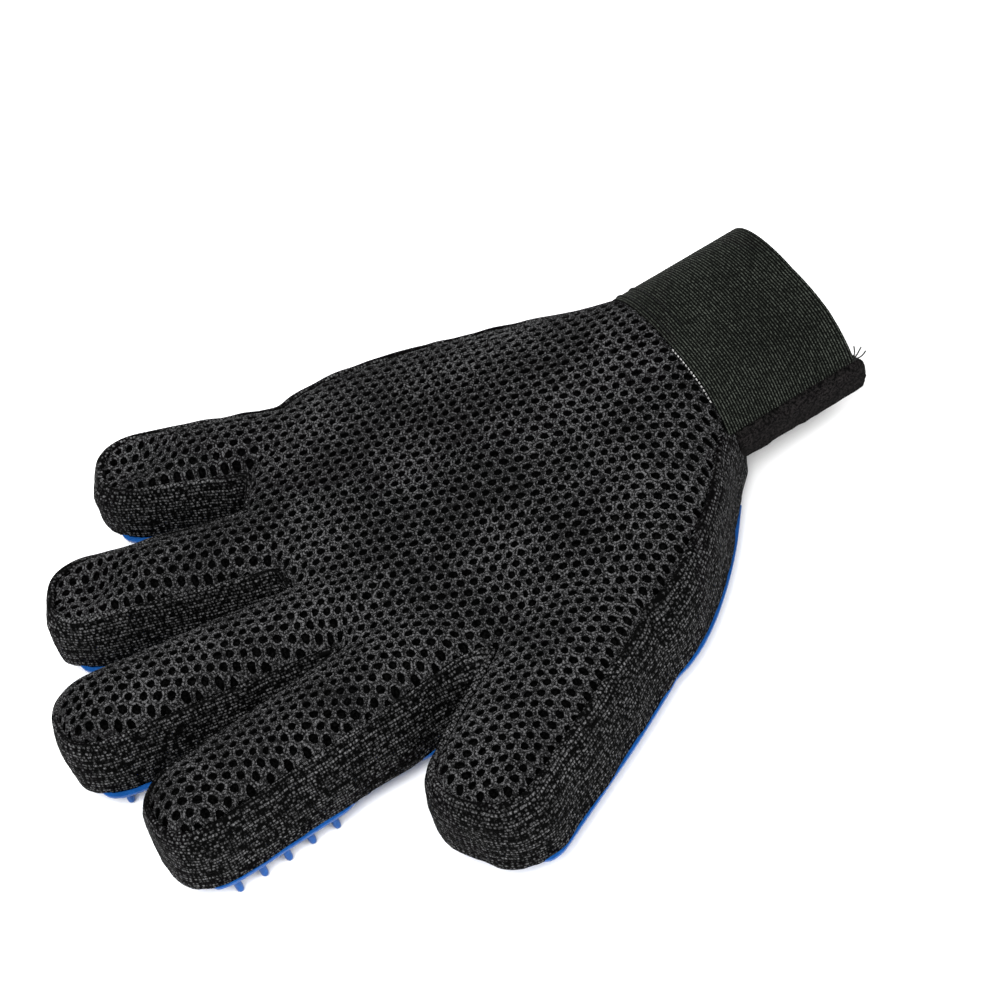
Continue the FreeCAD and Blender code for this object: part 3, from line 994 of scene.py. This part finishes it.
pin = rubber_pin()
leaning = [foot for name in FINGER_NAMES[1:] for foot in edge_feet(fingers[name])]
pins = []
for x, y in pin_feet():
    spot = Vector((x, y, hand.z))
    if min((spot - foot).length for foot, way in leaning) > EDGE_STRIP:
        twin = copy_of(pin, "pin")
        twin.matrix_world = Matrix.Translation(spot)
        pins.append(twin)
for spot, way in leaning:
    twin = copy_of(pin, "edge_pin")
    sunk = Vector((0, 0, -EDGE_SINK))
    turn = Matrix.Rotation(EDGE_LEAN, 4, Vector((0, 0, -1)).cross(way))
    twin.matrix_world = Matrix.Translation(spot + sunk) @ turn @ Matrix.Translation(-sunk)
    pins.append(twin)
remove_object(pin)
join(sheet, pins)
give(sheet, RUBBER)
take(sheet)
bpy.ops.object.shade_smooth_by_angle(angle=math.radians(60))
print("pins:", len(pins))
rubber_parts = wear(sheet, "rubber")

# %% [markdown]
# ## Wrist
# The wrist is an oval. A ribbed elastic strap goes round it from the seam underneath, over the little-finger
# side and the back, and its free end is held on a felt loop band by a hook patch. All of them are made from
# one open cylinder cut into fine rings, squeezed to the oval, and trimmed to the angles that it covers.
# %% Ring maker
WRIST_MIDDLE = hand + Vector((4 * MM, 0, 14.2 * MM))
OVAL = (29.0, 20.0)
RIB = 0.8


def wrist_angle(place):
    """The angle round the wrist in degrees: 0 at the little-finger side, 90 on the back, 180 at the thumb."""
    across = (place.x - WRIST_MIDDLE.x) / OVAL[0]
    above = (place.z - WRIST_MIDDLE.z) / OVAL[1]
    return math.degrees(math.atan2(above, across)) % 360


def wrist_ring(name, start, end, low_y, high_y, grow, thickness, rib=0.0):
    """A band from one angle to another, grown past the oval, with ribs that run round it."""
    nothing_selected()
    middle_y = hand.y + (low_y + high_y) / 2 * MM
    bpy.ops.mesh.primitive_cylinder_add(
        vertices=180, radius=1, depth=(high_y - low_y) * MM, end_fill_type="NOTHING",
        location=(WRIST_MIDDLE.x, middle_y, WRIST_MIDDLE.z), rotation=(math.pi / 2, 0, 0),
        scale=((OVAL[0] + grow) * MM, (OVAL[1] + grow) * MM, 1))
    ring = bpy.context.object
    ring.name = name
    apply_transform()
    edit_mode()
    step = RIB / 2 if rib else 4.0
    count = round((high_y - low_y) / step)
    cut_across([hand.y + (low_y + step * number) * MM for number in range(1, count)], (0, 1, 0))
    if rib:
        def on_rib(place):
            return round((place.y - hand.y - low_y * MM) / (step * MM)) % 2 == 1
        pick(on_rib)
        bpy.ops.transform.shrink_fatten(value=rib * MM)
    bpy.ops.mesh.select_all(action="DESELECT")
    span = (end - start) % 360
    pick(lambda place: (wrist_angle(place) - start) % 360 > span, kind="FACE")
    bpy.ops.mesh.delete(type="FACE")
    object_mode()
    # Where a finish reads it (the strap's), rib faces get the painted highlight and the gaps between ribs
    # painted shade.
    level = ring.data.attributes.new("thread_highlight", "FLOAT", "POINT")
    for vertex in ring.data.vertices:
        high = round((vertex.co.y - hand.y - low_y * MM) / (step * MM)) % 2
        level.data[vertex.index].value = float(high)
    use_modifier(ring, "SOLIDIFY", thickness=thickness * MM, offset=-1.0)
    return ring


def lift(ring, start, steps, amount, stop=360):
    """Raises a band off the oval little by little between two angles, where it lies over another layer."""
    edit_mesh(ring)
    for number in range(steps):
        pick(lambda place: start + 2 * number < wrist_angle(place) < stop - 2 * number)
        grow = (1 + amount / steps / OVAL[0], 1, 1 + amount / steps / OVAL[1])
        bpy.ops.transform.resize(value=grow, center_override=WRIST_MIDDLE)
    object_mode()


# %% Elastic strap, its free end and the felt band under it
ELASTIC_Y = (-23.0, 17.0)
SEAM_ANGLE = 270.0
FLAP_ANGLE = 100.0
FLAP_END = 168.0
elastic = wrist_ring("elastic_strap", SEAM_ANGLE + 1, FLAP_END, *ELASTIC_Y, 0.3, 1.4, rib=0.16)
lift(elastic, FLAP_ANGLE + 2, 16, 3.0, stop=FLAP_END + 34)
give(elastic, ELASTIC)
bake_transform(elastic)
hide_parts("elastic_band", "elastic_flap")
hooks = wrist_ring("hook_tape", FLAP_ANGLE + 22, FLAP_END - 3, ELASTIC_Y[0] + 3, ELASTIC_Y[1] - 5, 1.9, 0.7)
give(hooks, HOOKS)
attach(hooks, "strap_end")
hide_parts("hook_patch")

LOOP_START = 104.0
loop = wrist_ring("felt_loop_band", LOOP_START, SEAM_ANGLE - 1, -22.0, 15.0, 0.2, 1.6)
lift(loop, 158, 10, 3.0, stop=222)
edit_mesh(loop)
for corner_angle, reach in ((163, 1.6), (168, 1.4), (173, 1.2)):
    pick(lambda place: place.y < hand.y - 20.5 * MM and corner_angle < wrist_angle(place) < 212)
    bpy.ops.transform.translate(value=(0, -reach * MM, 0))
object_mode()
nap = bpy.data.textures.new("felt_nap", "CLOUDS")
nap.noise_scale = 0.0025
use_modifier(loop, "SUBSURF", levels=1, render_levels=1)
use_modifier(loop, "DISPLACE", texture=nap, texture_coords="GLOBAL", strength=0.0008, mid_level=0.5)
give(loop, FELT)
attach(loop, "palm")
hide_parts("loop_band")

joint_patch = wrist_ring("strap_joint", SEAM_ANGLE - 7, SEAM_ANGLE + 7,
                         ELASTIC_Y[0] + 0.5, ELASTIC_Y[1] - 0.5, 1.0, 0.7)
give(joint_patch, PALM_CLOTH)
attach(joint_patch, "palm")
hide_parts("band_joint")

# %% Stitches along the strap's front edge
def stitch():
    """One stitch at the origin: a short thread that dips at both ends."""
    nothing_selected()
    bpy.ops.mesh.primitive_cylinder_add(
        vertices=6, radius=0.28 * MM, depth=1.5 * MM, rotation=(0, math.pi / 2, 0))
    piece = bpy.context.object
    apply_transform()
    edit_mode()
    cut_across([-0.35 * MM, 0.35 * MM], (1, 0, 0))
    pick(lambda place: abs(place.x) > 0.6 * MM)
    bpy.ops.transform.resize(value=(1, 0.5, 0.5), center_override=(0, 0, 0))
    bpy.ops.transform.translate(value=(0, 0, -0.22 * MM))
    object_mode()
    return piece


def sew(master, name, angles, y, climb):
    """Copies a stitch to each angle of a row round the wrist, as far outside the oval as climb says."""
    row = []
    for angle in angles:
        turn = math.radians(angle)
        spot = Vector(((OVAL[0] + climb(angle)) * math.cos(turn) * MM, y * MM,
                       (OVAL[1] + climb(angle)) * math.sin(turn) * MM))
        slope = math.atan2(OVAL[1] * math.cos(turn), -OVAL[0] * math.sin(turn))
        twin = copy_of(master, name)
        twin.matrix_world = Matrix.Translation(WRIST_MIDDLE + spot) @ Matrix.Rotation(-slope, 4, "Y")
        row.append(twin)
    return row


def one_piece(row, name):
    """Joins a row of stitches into one piece."""
    piece = row.pop()
    join(piece, row)
    piece.name = name
    apply_transform()
    return piece


STITCH_CLIMB = 0.42
master = stitch()
stitches = []
for inset in (2.0, 6.0):
    stitches += sew(master, "stitch", range(-84, int(FLAP_ANGLE), 4), ELASTIC_Y[1] - inset,
                    lambda angle: STITCH_CLIMB)
remove_object(master)
seam_stitches = one_piece(stitches, "strap_stitching")
give(seam_stitches, THREAD)
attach(seam_stitches, "palm")
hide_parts("band_stitching")

# %% Light stitches and loose threads
BRIGHT_THREAD = fibrous("sewing_thread_light", 0.5, 0.3, 6.0, (0.10, 0.10, 0.10), (0.55, 0.55, 0.53),
                        0.0001, specular=0.3)
DOT_ANGLES = np.arange(108.0, 146.0, 2.4)
STRAP_LIFT = 3.0
LIFT_SPAN = 32


def strap_climb(angle):
    """How far the strap's free end stands outside the oval, less the dots' own sinking in."""
    return STRAP_LIFT * min(1.0, (angle - FLAP_ANGLE) / LIFT_SPAN) - 0.4


master = stitch()
take(master)
bpy.ops.transform.resize(value=(0.5, 0.8, 0.8))
apply_transform()
dots = sew(master, "dot", DOT_ANGLES, ELASTIC_Y[1] + 0.15, strap_climb)
remove_object(master)
edge_dots = one_piece(dots, "strap_edge_stitches")
give(edge_dots, BRIGHT_THREAD)
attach(edge_dots, "strap_end")


def loose_thread(name, start, bends, body):
    """A cut thread end: a thin tube along a short curve."""
    curve = bpy.data.curves.new(name, "CURVE")
    curve.dimensions = "3D"
    curve.bevel_depth = 0.2 * MM
    curve.bevel_resolution = 1
    curve.use_fill_caps = True
    spline = curve.splines.new("NURBS")
    spline.points.add(len(bends))
    for point, bend in zip(spline.points, [(0, 0, 0)] + list(bends)):
        point.co = (*(start + Vector(bend) * MM), 1)
    spline.order_u = 3
    spline.use_endpoint_u = True
    piece = bpy.data.objects.new(name, curve)
    bpy.context.scene.collection.objects.link(piece)
    take(piece)
    bpy.ops.object.convert(target="MESH")
    piece = bpy.context.object
    give(piece, THREAD)
    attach(piece, body)


LOOSE_BENDS = (
    ((0.3, -1.5, 0.6), (0.2, -2.6, 2.0), (-0.3, -3.0, 3.4)),
    ((-0.4, -1.4, 0.2), (-0.6, -3.0, 0.4), (-0.2, -4.2, 1.0)),
    ((0.6, -1.0, 0.5), (1.4, -1.8, 1.4), (1.8, -2.0, 2.6)))
turn = math.radians(FLAP_END - 2)
strap_corner = WRIST_MIDDLE + Vector((
    33.0 * math.cos(turn) * MM, (ELASTIC_Y[0] + 0.6) * MM, 23.0 * math.sin(turn) * MM))
for number, bends in enumerate(LOOSE_BENDS, start=1):
    loose_thread("loose_thread_" + str(number), strap_corner, bends, "strap_end")

# %% [markdown]
# ## Who stands for which CAD piece
# The CAD solids stay in MuJoCo for contact and weight. The CAD pieces that the Blender pieces stand for are
# hidden, and each layer's hand part moves with the palm.
# %% Replaced nodes
KIND_NODES = (("back", back_parts, "air_mesh", "back_panel"), ("gusset", strip_parts, "side_strip", None),
              ("liner", lining_parts, "palm_fabric", "palm_liner"),
              ("pad", rubber_parts, "rubber", "palm_pad"))
WEBS = ("thumb_index_web", "index_middle_web", "middle_ring_web", "ring_little_web")
for node_kind, parts, kind, hand_node in KIND_NODES:
    for name in FINGER_NAMES:
        for section, cad_section in (("root", "lower"), ("end", "upper")):
            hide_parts(name + "_" + cad_section + "_" + node_kind)
    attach(parts["hand"], "palm")
    if hand_node:
        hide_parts(hand_node)
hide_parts("thumb_side_gusset", "little_side_gusset", *WEBS)
for helper in (last, hollow, dome):
    remove_object(helper)

# %% [markdown]
# ## Floor, light and camera
# The floor is pale and plain, and three large lamps give soft light from above. The camera looks at the
# back of the hand from the thumb side, from about a metre away.
# %% Stage
nothing_selected()
bpy.ops.mesh.primitive_plane_add(size=8, location=(0, 0, cad_box[0].z))
floor = bpy.context.object
floor.name = "floor"
floor_finish, floor_tree, floor_shader = finish("floor_paper", 0.8, specular=0.1)
floor_shader.inputs["Base Color"].default_value = (0.93, 0.93, 0.93, 1)
open_below = floor_tree.nodes.new("ShaderNodeMixShader")
underside = floor_tree.nodes.new("ShaderNodeNewGeometry").outputs["Backfacing"]
floor_tree.links.new(underside, open_below.inputs[0])
floor_tree.links.new(floor_shader.outputs[0], open_below.inputs[1])
floor_tree.links.new(floor_tree.nodes.new("ShaderNodeBsdfTransparent").outputs[0], open_below.inputs[2])
floor_tree.links.new(open_below.outputs[0], floor_tree.nodes["Material Output"].inputs["Surface"])
floor.data.materials.append(floor_finish)
world = bpy.data.worlds.new("soft_world")
bpy.context.scene.world = world
world.use_nodes = True
world.node_tree.nodes["Background"].inputs["Color"].default_value = (1.0, 1.0, 1.0, 1)
world.node_tree.nodes["Background"].inputs["Strength"].default_value = 0.9

bpy.context.scene.view_settings.view_transform = "Standard"

GLOVE_MIDDLE = hand + Vector((-5 * MM, 80 * MM, 0))


def lamp(name, place, size, watts):
    """A square soft lamp that points at the middle of the glove."""
    nothing_selected()
    bpy.ops.object.light_add(type="AREA", location=GLOVE_MIDDLE + Vector(place))
    light = bpy.context.object
    light.name = name
    light.data.shape = "SQUARE"
    light.data.size = size
    light.data.energy = watts
    light.rotation_euler = (-Vector(place)).to_track_quat("-Z", "Y").to_euler()


lamp("key_lamp", (-0.5, 0.5, 1.1), 0.8, 22)
lamp("fill_lamp", (-0.9, -0.5, 0.8), 0.9, 10)
lamp("rim_lamp", (0.9, 0.2, 0.9), 0.6, 10)

# %% Camera
TILT = math.radians(48.44)
HEADING = math.radians(17.37)
ROLL = math.radians(-17.57)
DISTANCE = 1.0
SHIFT_RIGHT = 0.62 * MM
SHIFT_UP = 13.34 * MM
level_view = Vector((math.cos(HEADING), -math.sin(HEADING), 0))
look = level_view * math.cos(TILT) - Vector((0, 0, 1)) * math.sin(TILT)
right = look.cross(Vector((0, 0, 1))).normalized()
up = right.cross(look)
camera_x = right * math.cos(ROLL) + up * math.sin(ROLL)
camera_y = up * math.cos(ROLL) - right * math.sin(ROLL)
place = GLOVE_MIDDLE - look * DISTANCE + camera_x * SHIFT_RIGHT + camera_y * SHIFT_UP
nothing_selected()
bpy.ops.object.camera_add(location=place)
camera = bpy.context.object
camera.matrix_world = Matrix((
    (camera_x.x, camera_y.x, -look.x, place.x),
    (camera_x.y, camera_y.y, -look.y, place.y),
    (camera_x.z, camera_y.z, -look.z, place.z),
    (0, 0, 0, 1)))
camera.data.sensor_width = 36
camera.data.lens = 135
camera.data.clip_start = 0.01
bpy.context.scene.camera = camera

# %% Final update
bpy.context.view_layer.update()
